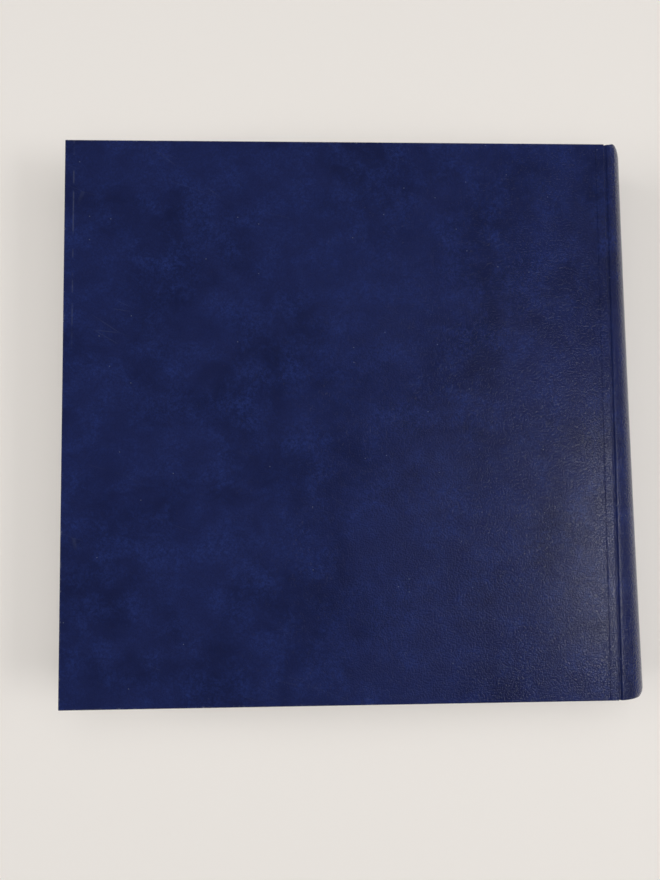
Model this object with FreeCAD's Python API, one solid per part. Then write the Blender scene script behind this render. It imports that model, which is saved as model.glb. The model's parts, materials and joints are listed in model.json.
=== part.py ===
"""Loose-leaf coin album: a case-made cover with a rounded spine, a ring mechanism and four board pages.

Millimetres. +X runs from the fore edge to the spine, +Y to the head and +Z up, through the closed album.
The origin is at the middle of the outline, on the outer face of the front cover that the album lies on.
"""
import FreeCAD, Part
import math
import os

V = FreeCAD.Vector
AXIS_X = V(1, 0, 0)
AXIS_Y = V(0, 1, 0)
AXIS_Z = V(0, 0, 1)

# ---- case: two cover boards, a rounded spine and the grooves between them
album_height = 255.0
album_thickness = 36.0
board_width = 248.0
groove_width = 3.5
spine_bulge = 9.5
spine_drop = 1.0
leather_t = 0.6
board_t = 2.4
lining_t = 0.3
spine_board_t = 1.5
turn_in = 7.0
hinge_depth = 0.5
lining_inset = 3.0

# ---- ring mechanism
ring_wire = 2.6
ring_cover_gap = 2.1
ring_places = (-80.0, 0.0, 80.0)
ring_foot_bend = 4.0
ring_foot_turn = 45.0
ring_tip_gap = 0.1
foot_head_radius = 1.8
foot_head_t = 0.5
mechanism_length = 226.0
plate_side_gap = 3.7
plate_spine_gap = 0.44
plate_depth = 5.4
plate_sheet = 0.8
plate_shoulder = 3.5
plate_slope = 2.4
plate_lip = 2.2
blade_t = 1.0
blade_lip_gap = 0.6
blade_side_gap = 0.2
blade_end_gap = 3.5
blade_seam = 0.1
pivot_inset = 0.4
ring_swing = 7.0

# ---- opening levers, their pins and the rivets that hold the mechanism to the spine
lever_width = 12.0
lever_nose_width = 3.2
lever_nose_reach = 3.8
lever_nose_gap = 0.3
lever_pin_radius = 0.9
lever_pin_end = 0.2
lever_pin_from_end = 1.4
lever_body = 1.6
lever_set_back = 0.2
lever_heel = 2.2
lever_tab_reach = 5.6
lever_tab_rise = 6.6
lever_tab_t = 1.4
rivet_places = (-95.0, 95.0)
rivet_radius = 1.5
rivet_head_radius = 3.2
rivet_head_t = 0.9
rivet_head_dome = 0.72
rivet_tail_radius = 3.5
rivet_tail_t = 0.5
spacer_radius = 2.5
spacer_notch_gap = 0.6

# ---- board pages
page_count = 4
page_square = 4.5
page_gap = 0.55
page_rest_gap = 0.35
page_ring_gap = 0.58
card_t = 0.5
film_t = 0.2
slot_width = 5.0
slot_clearance = 0.4
slot_ligament = 3.2
ring_open_room = 1.2
fan_set_back = 1.4
well_rows = 4
well_columns = 6
well_diameter = 25.0
well_ledge = 0.75
well_first = 20.0
well_pitch_x = 34.0
row_pitch = 58.0

# ---- clear slides, one over each row of wells
slide_t = 0.3
slide_width = 34.0
slide_length = 206.0
slide_end_set_back = 0.5
slide_play = 0.3
slide_face_play = 0.05
thumb_notch_radius = 8.0

# ---- small fits
hole_play = 0.05
running_play = 0.07

# ---- sizes that follow from the ones above
overall_width = board_width + groove_width + spine_bulge
cover_t = leather_t + board_t + lining_t
fore_x = -overall_width / 2
groove_x = fore_x + board_width
spine_x = groove_x + groove_width
half_height = album_height / 2
mid_z = album_thickness / 2
half_gap = mid_z - cover_t

hinge_x = groove_x + groove_width / 2
front_hinge_z = hinge_depth
back_hinge_z = album_thickness - hinge_depth

spine_half_chord = mid_z - spine_drop
spine_radius = (spine_half_chord**2 + spine_bulge**2) / (2 * spine_bulge)
spine_centre_x = overall_width / 2 - spine_radius
spine_board_radius = spine_radius - leather_t
spine_lining_radius = spine_board_radius - spine_board_t
spine_inner_radius = spine_lining_radius - lining_t

wire_radius = ring_wire / 2
ring_radius = half_gap - ring_cover_gap - wire_radius
ring_inner = ring_radius - wire_radius
ring_outer = ring_radius + wire_radius

plate_half = half_gap - plate_side_gap
plate_back_x = spine_centre_x + math.sqrt(spine_inner_radius**2 - plate_half**2) - plate_spine_gap
plate_crown_x = plate_back_x - plate_depth
ring_centre_x = plate_crown_x - ring_inner

blade_back_x = plate_back_x - plate_sheet - blade_lip_gap
blade_front_x = blade_back_x - blade_t
blade_half = plate_half - plate_sheet - blade_side_gap
blade_length = mechanism_length - 2 * blade_end_gap
pivot_x = (blade_front_x + blade_back_x) / 2
pivot_z = blade_half - pivot_inset
foot_z = ring_radius * math.sin(math.radians(ring_foot_turn)) - ring_foot_bend * (
    1 - math.cos(math.radians(ring_foot_turn))
)
foot_bend_x = (ring_radius + ring_foot_bend) * math.sin(math.radians(ring_foot_turn))
pin_x = blade_back_x - lever_body / 2 + lever_set_back
pin_y = mechanism_length / 2 - lever_pin_from_end

page_reach = ring_inner - page_ring_gap
page_pitch = (2 * page_reach + page_gap) / page_count
page_t = page_pitch - page_gap
page_height = album_height - 2 * page_square
slot_inner_end = -math.sqrt(ring_inner**2 - page_reach**2) + slot_clearance
slot_length = slot_inner_end + ring_outer + ring_open_room
outer_page_edge = slot_inner_end + slot_ligament
inner_page_edge = -fan_set_back
page_width = ring_centre_x + inner_page_edge - (fore_x + page_square)
page_span = page_width - outer_page_edge
page_sag = math.asin((half_gap - page_rest_gap) / math.hypot(page_reach, page_span)) - math.atan2(
    page_reach, page_span
)
channel_depth = slide_t + 2 * slide_face_play


def block(x0, x1, y0, y1, z0, z1):
    """A box between two corners."""
    return Part.makeBox(x1 - x0, y1 - y0, z1 - z0, V(x0, y0, z0))


def slab(x0, x1, half_y, z0, z1):
    """A box that lies evenly about the album's middle height."""
    return block(x0, x1, -half_y, half_y, z0, z1)


def prism(points, run):
    """A closed outline drawn through the points and extruded along run."""
    outline = Part.makePolygon(points + [points[0]])
    return Part.Face(outline).extrude(run)


def join(shapes):
    """The shapes fused into one solid."""
    whole = shapes[0]
    for shape in shapes[1:]:
        whole = whole.fuse(shape)
    return whole.removeSplitter()


def cut_all(shape, tools):
    """The shape with every tool cut away."""
    for tool in tools:
        shape = shape.cut(tool)
    return shape


def flip_z(shape):
    """The shape mirrored from the front half of the album to the back half."""
    return shape.mirror(V(0, 0, mid_z), AXIS_Z)


def flip_y(shape):
    """The shape mirrored from the head to the tail."""
    return shape.mirror(V(0, 0, 0), AXIS_Y)


# ---------------------------------------------------------------- covers


def cover_board():
    """Stiff greyboard of one cover."""
    return slab(
        fore_x + leather_t,
        groove_x - leather_t,
        half_height - leather_t,
        leather_t,
        leather_t + board_t,
    )


def cover_endpaper():
    """Lining sheet on the inner face of one cover, inside the turned-in leatherette."""
    return slab(fore_x + turn_in, groove_x, half_height - turn_in, cover_t - lining_t, cover_t)


def cover_leatherette():
    """Covering of one board: outer face, four edges and the turn-ins on the inner face."""
    whole = slab(fore_x, groove_x, half_height, 0, cover_t)
    return cut_all(whole, [cover_board(), cover_endpaper()])


def joint_leatherette():
    """Strip of the covering that sinks into the groove between a board and the spine."""
    top = cover_t - lining_t
    return slab(groove_x, spine_x, half_height, top - leather_t, top)


def lining_start_z():
    """Height at which the spine's lining leaves the groove, on the front half."""
    return mid_z - math.sqrt(spine_lining_radius**2 - (spine_x - spine_centre_x) ** 2)


def joint_cloth():
    """Cloth that lines the groove on the inside and turns up to meet the spine's lining."""
    half_y = half_height - lining_inset
    strip = slab(groove_x, spine_x, half_y, cover_t - lining_t, cover_t)
    low = min(cover_t - lining_t, lining_start_z())
    high = max(cover_t, lining_start_z() + lining_t)
    return join([strip, slab(spine_x - lining_t, spine_x, half_y, low, high)])


# ---------------------------------------------------------------- spine


def spine_shell(inner, outer, half_y):
    """Part of a round tube along the spine, kept beyond the groove."""
    start = V(spine_centre_x, -half_y, mid_z)
    tube = Part.makeCylinder(outer, 2 * half_y, start, AXIS_Y)
    bore = Part.makeCylinder(inner, 2 * half_y, start, AXIS_Y)
    keep = slab(spine_x, overall_width / 2, half_y, 0, album_thickness)
    return tube.cut(bore).common(keep)


def rivet_holes(radius, x0, x1):
    """Round holes along X at the two rivets."""
    return [
        Part.makeCylinder(radius, x1 - x0, V(x0, y, mid_z), AXIS_X) for y in rivet_places
    ]


def rivet_tail_x():
    """Outer end of the rivets, just under the leatherette."""
    crest = spine_centre_x + math.sqrt(spine_board_radius**2 - (rivet_tail_radius + hole_play) ** 2)
    return crest - hole_play


def spine_board():
    """Curved board of the spine, with holes and recesses for the concealed rivets."""
    shell = spine_shell(spine_lining_radius, spine_board_radius, half_height - leather_t)
    holes = rivet_holes(rivet_radius + hole_play, plate_crown_x, overall_width)
    recess_x = rivet_tail_x() - rivet_tail_t - hole_play
    recesses = rivet_holes(rivet_tail_radius + hole_play, recess_x, overall_width)
    return cut_all(shell, holes + recesses)


def spine_leatherette():
    """Covering of the spine, turned over its head and tail."""
    whole = spine_shell(spine_lining_radius, spine_radius, half_height)
    core = spine_shell(spine_lining_radius, spine_board_radius, half_height - leather_t)
    return whole.cut(core)


def spine_lining():
    """Cloth on the inside of the spine."""
    shell = spine_shell(spine_inner_radius, spine_lining_radius, half_height - lining_inset)
    return cut_all(shell, rivet_holes(rivet_radius + hole_play, plate_crown_x, overall_width))


# ---------------------------------------------------------------- ring mechanism


def plate_outline(inset):
    """Outline of the arched plate, as pairs of depth from the crown and half width."""
    return [
        (inset, plate_half - plate_shoulder - inset / 2),
        (plate_slope + inset / 2, plate_half - inset),
        (plate_depth, plate_half - inset),
    ]


def plate_solid(inset, half_y):
    """The arch filled solid, made smaller all round by inset."""
    side = plate_outline(inset)
    top = [V(plate_crown_x + d, -half_y, mid_z + w) for d, w in side]
    bottom = [V(plate_crown_x + d, -half_y, mid_z - w) for d, w in reversed(side)]
    return prism(top + bottom, AXIS_Y * (2 * half_y))


def lever_pin_rod(radius, end):
    """Cross pin of the head lever, along Z."""
    half = plate_half + end
    return Part.makeCylinder(radius, 2 * half, V(pin_x, pin_y, mid_z - half), AXIS_Z)


def foot_slot(place, side):
    """Slot in the arched plate that a ring foot swings in."""
    room = wire_radius + ring_open_room / 2
    middle = mid_z + side * (foot_z + hole_play)
    front = plate_crown_x - plate_sheet
    return block(front, blade_front_x, place - room, place + room, middle - room, middle + room)


def ring_cover_plate():
    """Arched sheet-metal plate with curled lips that hold the two hinge blades."""
    half_y = mechanism_length / 2
    shell = plate_solid(0, half_y).cut(plate_solid(plate_sheet, half_y))
    lips = []
    for side in (-1, 1):
        near = mid_z + side * (plate_half - plate_lip)
        far = mid_z + side * (plate_half - plate_sheet / 2)
        low, high = sorted((near, far))
        lips.append(slab(plate_back_x - plate_sheet, plate_back_x, blade_length / 2, low, high))
    plate = join([shell] + lips)
    slots = [foot_slot(place, side) for place in ring_places for side in (-1, 1)]
    pin_hole = lever_pin_rod(lever_pin_radius + hole_play, plate_sheet)
    holes = rivet_holes(rivet_radius + hole_play, plate_crown_x - plate_sheet, plate_back_x)
    return cut_all(plate, slots + holes + [pin_hole, flip_y(pin_hole)])


def upper_blade():
    """Hinge blade on the back-cover side, with ring feet holes and rivet notches."""
    low = mid_z + blade_seam / 2
    blade = slab(blade_front_x, blade_back_x, blade_length / 2, low, mid_z + blade_half)
    foot_start_x = blade_front_x - blade_t / 2
    feet = [
        Part.makeCylinder(wire_radius + hole_play, 2 * blade_t, V(foot_start_x, y, mid_z + foot_z), AXIS_X)
        for y in ring_places
    ]
    notches = rivet_holes(spacer_radius + spacer_notch_gap, blade_front_x - blade_t, plate_back_x)
    return cut_all(blade, feet + notches)


def upper_half_ring(place):
    """One bent half ring, from the tip round to the foot that is peened through the blade."""
    lift = math.asin(ring_tip_gap / 2 / ring_radius)
    turn = math.radians(ring_foot_turn)

    def on_ring(angle, radius=ring_radius):
        return V(ring_centre_x - radius * math.cos(angle), place, mid_z + radius * math.sin(angle))

    tip = on_ring(lift)
    leave = on_ring(math.pi - turn)
    bend_middle = V(ring_centre_x + foot_bend_x, place, mid_z + foot_z + ring_foot_bend)
    half_turn = turn / 2
    bend = V(
        bend_middle.x - ring_foot_bend * math.sin(half_turn),
        place,
        bend_middle.z - ring_foot_bend * math.cos(half_turn),
    )
    down = V(bend_middle.x, place, mid_z + foot_z)
    end = V(blade_back_x + foot_head_t / 2, place, mid_z + foot_z)
    path = Part.Wire(
        [
            Part.Arc(tip, on_ring(math.pi / 2), leave).toShape(),
            Part.Arc(leave, bend, down).toShape(),
            Part.LineSegment(down, end).toShape(),
        ]
    )
    along = V(math.sin(lift), 0, math.cos(lift))
    section = Part.Wire(Part.Circle(tip, along, wire_radius).toShape())
    wire = path.makePipeShell([section], True, False)
    head = Part.makeCylinder(foot_head_radius, foot_head_t, V(blade_back_x, place, mid_z + foot_z), AXIS_X)
    return join([wire, head])


def upper_ring_halves():
    """The half rings that rise from the upper blade."""
    return Part.makeCompound([upper_half_ring(place) for place in ring_places])


def head_lever():
    """Opening lever at the head: a nose behind the blades, a body on the pin and a finger tab."""
    half = lever_width / 2
    front = pin_x - lever_body
    back = pin_x + lever_heel
    body_start = pin_y - lever_body + slide_play
    end = mechanism_length / 2
    tab_root = end + lever_tab_t / 2
    tip_x = front - lever_tab_reach
    tip_y = end + lever_tab_rise
    outline = [
        V(front, body_start, mid_z - half),
        V(back, body_start, mid_z - half),
        V(back, tab_root, mid_z - half),
        V(front + lever_tab_t, tab_root + 2 * lever_tab_t, mid_z - half),
        V(tip_x + lever_tab_t / 2, tip_y + lever_tab_t, mid_z - half),
        V(tip_x, tip_y, mid_z - half),
        V(front - lever_tab_t / 2, tab_root + lever_tab_t, mid_z - half),
        V(front, end, mid_z - half),
    ]
    arm = prism(outline, AXIS_Z * lever_width)
    nose_half = lever_nose_width / 2
    nose_front = blade_back_x + lever_nose_gap
    nose_end = body_start + lever_body / 2
    nose = block(nose_front, back, pin_y - lever_nose_reach, nose_end, mid_z - nose_half, mid_z + nose_half)
    bore = lever_pin_rod(lever_pin_radius + running_play, plate_sheet)
    return join([arm, nose]).cut(bore)


def lever_pins():
    """The two cross pins, peened in the side walls of the arched plate."""
    pin = lever_pin_rod(lever_pin_radius, lever_pin_end)
    return Part.makeCompound([pin, flip_y(pin)])


def rivet(place):
    """Concealed rivet with a domed head on the arched plate and a flat tail in the spine board."""
    tail_x = rivet_tail_x()
    head = Part.makeCylinder(
        rivet_head_radius, rivet_head_t, V(plate_crown_x - rivet_head_t, place, mid_z), AXIS_X
    )
    rim_x = plate_crown_x - rivet_head_t
    rim = [e for e in head.Edges if e.BoundBox.XLength < hole_play and abs(e.BoundBox.XMax - rim_x) < hole_play]
    head = head.makeFillet(rivet_head_dome, rim)
    shank = Part.makeCylinder(rivet_radius, tail_x - plate_crown_x, V(plate_crown_x, place, mid_z), AXIS_X)
    tail = Part.makeCylinder(rivet_tail_radius, rivet_tail_t, V(tail_x - rivet_tail_t, place, mid_z), AXIS_X)
    return join([head, shank, tail])


def spacer(place):
    """Tube round a rivet that holds the arched plate off the curved spine."""
    start = plate_crown_x + plate_sheet
    end = spine_centre_x + math.sqrt(spine_inner_radius**2 - spacer_radius**2) - hole_play
    tube = Part.makeCylinder(spacer_radius, end - start, V(start, place, mid_z), AXIS_X)
    bore = Part.makeCylinder(rivet_radius + hole_play, end - start, V(start, place, mid_z), AXIS_X)
    return tube.cut(bore)


# ---------------------------------------------------------------- pages


def page_level(number):
    """Height of a page's middle above the ring centre."""
    return (number - (page_count + 1) / 2) * page_pitch


def page_edge(number):
    """Inner edge of a page, from the ring centre. The outermost pages sit nearer the spine."""
    outermost = number in (1, page_count)
    return outer_page_edge if outermost else inner_page_edge


def row_centres():
    """Middle height of each row of wells."""
    return [(row - (well_rows - 1) / 2) * row_pitch for row in range(well_rows)]


def column_centres():
    """Distance of each column of wells from the fore edge of the page."""
    return [well_first + column * well_pitch_x for column in range(well_columns)]


class Page:
    """One board page, drawn flat at its level on the rings and then let down to rest."""

    def __init__(self, number):
        self.inner = ring_centre_x + page_edge(number)
        self.fore = self.inner - page_width
        self.low = mid_z + page_level(number) - page_t / 2
        self.high = self.low + page_t
        self.core_low = self.low + card_t + film_t
        self.core_high = self.high - card_t
        self.channel_low = self.core_high - channel_depth

    def rest(self, shape):
        """The shape turned about the ring centre until the page rests on what lies below."""
        shape.rotate(V(ring_centre_x, 0, mid_z), AXIS_Y, -math.degrees(page_sag))
        return shape

    def sheet(self, low, high):
        """A full sheet of the page with its ring slots."""
        blank = slab(self.fore, self.inner, page_height / 2, low, high)
        slot_end = self.inner - slot_ligament
        slots = [self.slot(slot_end, place, low, high) for place in ring_places]
        return cut_all(blank, slots)

    def slot(self, slot_end, place, low, high):
        """Rounded slot that a ring passes through."""
        radius = slot_width / 2
        depth = high - low
        middle = block(
            slot_end - slot_length + radius, slot_end - radius, place - radius, place + radius, low, high
        )
        ends = [
            Part.makeCylinder(radius, depth, V(x, place, low), AXIS_Z)
            for x in (slot_end - radius, slot_end - slot_length + radius)
        ]
        return join([middle] + ends)

    def discs(self, diameter, low, high):
        """Round cutters, one at each well."""
        return [
            Part.makeCylinder(diameter / 2, high - low, V(self.fore + x, y, low), AXIS_Z)
            for x in column_centres()
            for y in row_centres()
        ]

    def core(self):
        """Thick board with the coin wells and a shallow channel along each row for its slide."""
        wells = self.discs(well_diameter, self.core_low, self.core_high)
        half = slide_width / 2 + slide_play
        end = self.fore + slide_end_set_back + slide_length + slide_play
        channels = [
            block(self.fore, end, y - half, y + half, self.channel_low, self.core_high) for y in row_centres()
        ]
        return self.rest(cut_all(self.sheet(self.core_low, self.core_high), wells + channels))

    def face_card(self):
        """Thin card on the face that is turned to the front cover."""
        windows = self.discs(well_diameter - 2 * well_ledge, self.low, self.low + card_t)
        return self.rest(cut_all(self.sheet(self.low, self.low + card_t), windows))

    def film(self):
        """Clear film glued between the face card and the core."""
        return self.rest(self.sheet(self.low + card_t, self.core_low))

    def slide_card(self):
        """Thin card over the slides, with a thumb notch at the fore edge of each row."""
        windows = self.discs(well_diameter - 2 * well_ledge, self.core_high, self.high)
        notches = [
            Part.makeCylinder(thumb_notch_radius, card_t, V(self.fore, y, self.core_high), AXIS_Z)
            for y in row_centres()
        ]
        return self.rest(cut_all(self.sheet(self.core_high, self.high), windows + notches))

    def slide(self, row):
        """Clear slide over one row of wells."""
        y = row_centres()[row]
        start = self.fore + slide_end_set_back
        low = self.channel_low + slide_face_play
        half = slide_width / 2
        return self.rest(block(start, start + slide_length, y - half, y + half, low, low + slide_t))


# ---------------------------------------------------------------- the album


def build():
    """Every node of the album by name."""
    nodes = {
        "front_board": cover_board(),
        "front_leatherette": cover_leatherette(),
        "front_endpaper": cover_endpaper(),
        "front_joint_leatherette": joint_leatherette(),
        "front_joint_cloth": joint_cloth(),
        "back_board": flip_z(cover_board()),
        "back_leatherette": flip_z(cover_leatherette()),
        "back_endpaper": flip_z(cover_endpaper()),
        "back_joint_leatherette": flip_z(joint_leatherette()),
        "back_joint_cloth": flip_z(joint_cloth()),
        "spine_board": spine_board(),
        "spine_leatherette": spine_leatherette(),
        "spine_lining": spine_lining(),
        "ring_cover_plate": ring_cover_plate(),
        "upper_blade": upper_blade(),
        "lower_blade": flip_z(upper_blade()),
        "upper_ring_halves": upper_ring_halves(),
        "lower_ring_halves": flip_z(upper_ring_halves()),
        "head_lever": head_lever(),
        "tail_lever": flip_y(head_lever()),
        "lever_pins": lever_pins(),
        "spine_rivets": Part.makeCompound([rivet(place) for place in rivet_places]),
        "rivet_spacers": Part.makeCompound([spacer(place) for place in rivet_places]),
    }
    for number in range(1, page_count + 1):
        page = Page(number)
        nodes[f"page_{number}_face_card"] = page.face_card()
        nodes[f"page_{number}_film"] = page.film()
        nodes[f"page_{number}_core"] = page.core()
        nodes[f"page_{number}_slide_card"] = page.slide_card()
        for row in range(well_rows):
            nodes[f"page_{number}_slide_{row + 1}"] = page.slide(row)
    return nodes


os.makedirs("parts", exist_ok=True)
for name, shape in build().items():
    shape.exportStep(f"parts/{name}.step")
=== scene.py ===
"""Looks of a loose-leaf coin album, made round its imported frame.

Metres. +X runs from the fore edge to the spine, +Y to the head and +Z up through the closed album,
which lies on its front cover. Each class is one sub-assembly, one finish or the studio.
"""
import json
import logging
import math
from contextlib import contextmanager
from dataclasses import dataclass
from enum import Enum
from typing import Callable, Dict, Iterator, List, Sequence, Tuple, Union

import bmesh
import bpy
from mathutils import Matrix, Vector

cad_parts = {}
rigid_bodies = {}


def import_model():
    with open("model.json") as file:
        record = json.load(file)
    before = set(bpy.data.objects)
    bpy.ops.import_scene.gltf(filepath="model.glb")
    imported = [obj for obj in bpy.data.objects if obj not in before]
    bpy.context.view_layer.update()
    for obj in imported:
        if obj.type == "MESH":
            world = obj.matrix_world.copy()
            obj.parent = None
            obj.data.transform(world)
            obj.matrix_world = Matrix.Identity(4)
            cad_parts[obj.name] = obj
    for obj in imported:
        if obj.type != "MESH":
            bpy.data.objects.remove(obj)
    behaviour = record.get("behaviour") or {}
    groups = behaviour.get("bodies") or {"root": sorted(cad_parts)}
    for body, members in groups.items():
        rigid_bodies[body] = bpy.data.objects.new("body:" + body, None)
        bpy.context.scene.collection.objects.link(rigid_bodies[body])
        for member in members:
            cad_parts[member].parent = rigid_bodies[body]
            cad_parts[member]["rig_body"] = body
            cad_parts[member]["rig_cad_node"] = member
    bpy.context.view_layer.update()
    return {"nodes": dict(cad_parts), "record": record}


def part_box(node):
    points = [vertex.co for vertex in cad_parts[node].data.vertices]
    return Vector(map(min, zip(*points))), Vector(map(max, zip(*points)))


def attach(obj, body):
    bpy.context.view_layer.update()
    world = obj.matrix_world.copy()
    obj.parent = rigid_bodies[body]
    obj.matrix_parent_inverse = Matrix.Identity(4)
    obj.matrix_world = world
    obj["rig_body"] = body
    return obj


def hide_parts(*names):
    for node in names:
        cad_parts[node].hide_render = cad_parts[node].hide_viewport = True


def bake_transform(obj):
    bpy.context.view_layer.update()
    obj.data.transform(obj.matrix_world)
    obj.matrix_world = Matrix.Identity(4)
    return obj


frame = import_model()

LOG = logging.getLogger("coin_album")
MM = 0.001
FACING = 0.9

Point = Tuple[float, float]
Colour = Tuple[float, float, float, float]
Test = Callable[[Vector, Vector], bool]
Socket = bpy.types.NodeSocket
Sockets = Dict[str, Socket]
Value = Union[float, Sequence[float], Socket]


# ---------------------------------------------------------------- working a mesh by hand


class Part(Enum):
    """What a selection is made of."""

    VERT = "VERT"
    EDGE = "EDGE"
    FACE = "FACE"


def clear_selection() -> None:
    """Deselect every object, so that an operator meets only what it is given."""
    if bpy.context.object is not None and bpy.context.object.mode != "OBJECT":
        bpy.ops.object.mode_set(mode="OBJECT")
    bpy.ops.object.select_all(action="DESELECT")


class Workpiece:
    """One mesh object under the hand, selected by place and shaped by edit-mode operators."""

    def __init__(self, name: str) -> None:
        """Take the primitive that was just added and settle its place into its mesh.

        Args:
            name: Name of the finished piece.
        """
        self.obj = bpy.context.object
        self.obj.name = name
        self.obj.data.name = name
        bpy.ops.object.transform_apply(location=True, rotation=True, scale=True)

    @contextmanager
    def editing(self) -> Iterator["Workpiece"]:
        """Open edit mode on this piece alone, and close it again."""
        clear_selection()
        self.obj.select_set(True)
        bpy.context.view_layer.objects.active = self.obj
        bpy.ops.object.mode_set(mode="EDIT")
        yield self
        bpy.ops.object.mode_set(mode="OBJECT")

    def select(self, kind: Part, test: Test) -> int:
        """Select what passes a test by place, and nothing else.

        Args:
            kind: Vertices, edges or faces.
            test: Takes the middle and the direction: a normal, or an edge's run.

        Returns:
            How many were selected.
        """
        bpy.ops.mesh.select_mode(type=kind.value)
        bpy.ops.mesh.select_all(action="DESELECT")
        mesh = bmesh.from_edit_mesh(self.obj.data)
        mesh.normal_update()
        found = 0
        for part in {Part.VERT: mesh.verts, Part.EDGE: mesh.edges, Part.FACE: mesh.faces}[kind]:
            if kind is Part.VERT:
                middle, way = part.co, part.normal
            elif kind is Part.EDGE:
                middle = (part.verts[0].co + part.verts[1].co) / 2
                way = part.verts[1].co - part.verts[0].co
            else:
                middle, way = part.calc_center_median(), part.normal
            if test(middle, way):
                part.select_set(True)
                found += 1
        mesh.select_flush_mode()
        bmesh.update_edit_mesh(self.obj.data)
        return found

    def select_rims(self, test: Test) -> int:
        """Select the open edges that pass a test by place.

        Args:
            test: Takes the edge's middle and its run.

        Returns:
            How many were selected.
        """
        bpy.ops.mesh.select_mode(type="EDGE")
        bpy.ops.mesh.select_all(action="DESELECT")
        mesh = bmesh.from_edit_mesh(self.obj.data)
        found = 0
        for edge in mesh.edges:
            middle = (edge.verts[0].co + edge.verts[1].co) / 2
            if edge.is_boundary and test(middle, edge.verts[1].co - edge.verts[0].co):
                edge.select_set(True)
                found += 1
        mesh.select_flush_mode()
        bmesh.update_edit_mesh(self.obj.data)
        return found

    def modify(self, kind: str, **settings: object) -> None:
        """Add a modifier and apply it.

        Args:
            kind: Blender's name for the modifier.
            **settings: Its settings by name.
        """
        clear_selection()
        self.obj.select_set(True)
        bpy.context.view_layer.objects.active = self.obj
        made = self.obj.modifiers.new(kind.title(), kind)
        for key, value in settings.items():
            setattr(made, key, value)
        bpy.ops.object.modifier_apply(modifier=made.name)

    def smooth(self, degrees: float = 35.0) -> None:
        """Shade smooth wherever faces meet at less than an angle.

        Args:
            degrees: The largest angle that is still smoothed.
        """
        clear_selection()
        self.obj.select_set(True)
        bpy.context.view_layer.objects.active = self.obj
        bpy.ops.object.shade_smooth_by_angle(angle=math.radians(degrees))


def near(a: float, b: float, within: float = 0.01 * MM) -> bool:
    """Whether two places along an axis are the same."""
    return abs(a - b) < within


# ---------------------------------------------------------------- sizes from the frame


@dataclass(frozen=True)
class AlbumSizes:
    """Sizes of the closed album, in its own frame."""

    fore_x: float
    groove_x: float
    half_height: float
    thickness: float
    cover_t: float
    turn_in: float

    @classmethod
    def from_frame(cls) -> "AlbumSizes":
        """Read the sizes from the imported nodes."""
        cover_low, cover_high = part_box("front_leatherette")
        paper_low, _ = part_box("front_endpaper")
        _, back_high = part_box("back_leatherette")
        return cls(
            fore_x=cover_low.x,
            groove_x=cover_high.x,
            half_height=cover_high.y,
            thickness=back_high.z,
            cover_t=cover_high.z,
            turn_in=paper_low.x - cover_low.x,
        )

    @property
    def mid_z(self) -> float:
        """Middle of the album's thickness."""
        return self.thickness / 2


class Side(Enum):
    """The two covers. The back cover is on top of the closed album."""

    FRONT = "front"
    BACK = "back"

    @property
    def body(self) -> str:
        """Name of the cover's moving body."""
        return f"{self.value}_cover"


# ---------------------------------------------------------------- shader nodes


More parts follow.
